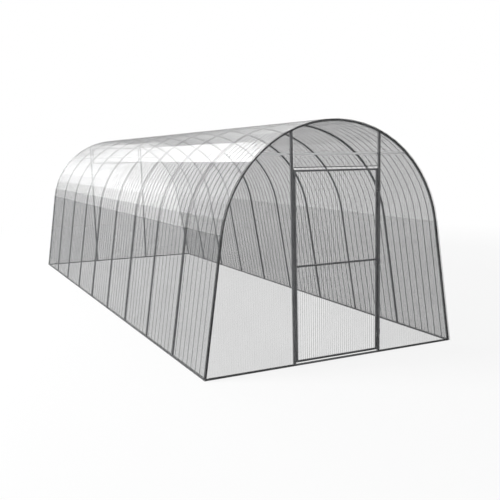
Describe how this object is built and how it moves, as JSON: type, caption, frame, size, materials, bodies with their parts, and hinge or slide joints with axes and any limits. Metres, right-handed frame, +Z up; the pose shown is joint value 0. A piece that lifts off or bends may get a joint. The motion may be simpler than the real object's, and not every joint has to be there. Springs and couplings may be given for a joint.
{
  "type": "polytunnel greenhouse",
  "caption": "Arched polytunnel greenhouse: bent steel tube arches on a base rail, clad in clear twin-wall sheet, with a hinged door in one end and a vent in the other.",
  "frame": {"origin": "middle of the house's footprint, at ground level", "axes": "+Z up, +Y along the length from the door end to the vent end, +X to the right seen from the door end"},
  "size_m": [3.0314, 9.06, 2.5119],
  "materials": {
    "steel_tube": "grey painted steel tube, satin",
    "hinge_steel": "zinc plated, dull",
    "clear_sheet": "clear twin-wall plastic sheet, glossy, faintly ribbed"
  },
  "bodies": {
    "house": {"arch_1": "steel_tube", "arch_2": "steel_tube", "arch_3": "steel_tube", "arch_4": "steel_tube", "arch_5": "steel_tube", "arch_6": "steel_tube", "arch_7": "steel_tube", "arch_8": "steel_tube", "arch_9": "steel_tube", "arch_10": "steel_tube", "base_rail_left": "steel_tube", "base_rail_right": "steel_tube", "base_rail_front": "steel_tube", "base_rail_rear": "steel_tube", "front_post_left": "steel_tube", "front_post_right": "steel_tube", "rear_post_left": "steel_tube", "rear_post_right": "steel_tube", "front_tie_bar": "steel_tube", "rear_tie_bar": "steel_tube", "post_hinge_plates": "hinge_steel", "vent_frame": "steel_tube", "vent_sheet": "clear_sheet", "roof_sheet_1": "clear_sheet", "roof_sheet_2": "clear_sheet", "roof_sheet_3": "clear_sheet", "roof_sheet_4": "clear_sheet", "roof_sheet_5": "clear_sheet", "front_sheet_left": "clear_sheet", "front_sheet_right": "clear_sheet", "front_sheet_top": "clear_sheet", "rear_sheet_left": "clear_sheet", "rear_sheet_right": "clear_sheet", "rear_sheet_low": "clear_sheet", "rear_sheet_top": "clear_sheet"},
    "door": {"door_stile_left": "steel_tube", "door_stile_right": "steel_tube", "door_top_rail": "steel_tube", "door_mid_rail": "steel_tube", "door_bottom_rail": "steel_tube", "door_sheet": "clear_sheet", "door_hinge_plates": "hinge_steel"}
  },
  "joints": [
    {"name": "door_hinge", "type": "hinge", "parent": "house", "child": "door", "pos_m": [0.5025, -4.5215, 0], "axis": [0, 0, 1], "range_deg": [0, 110]}
  ]
}
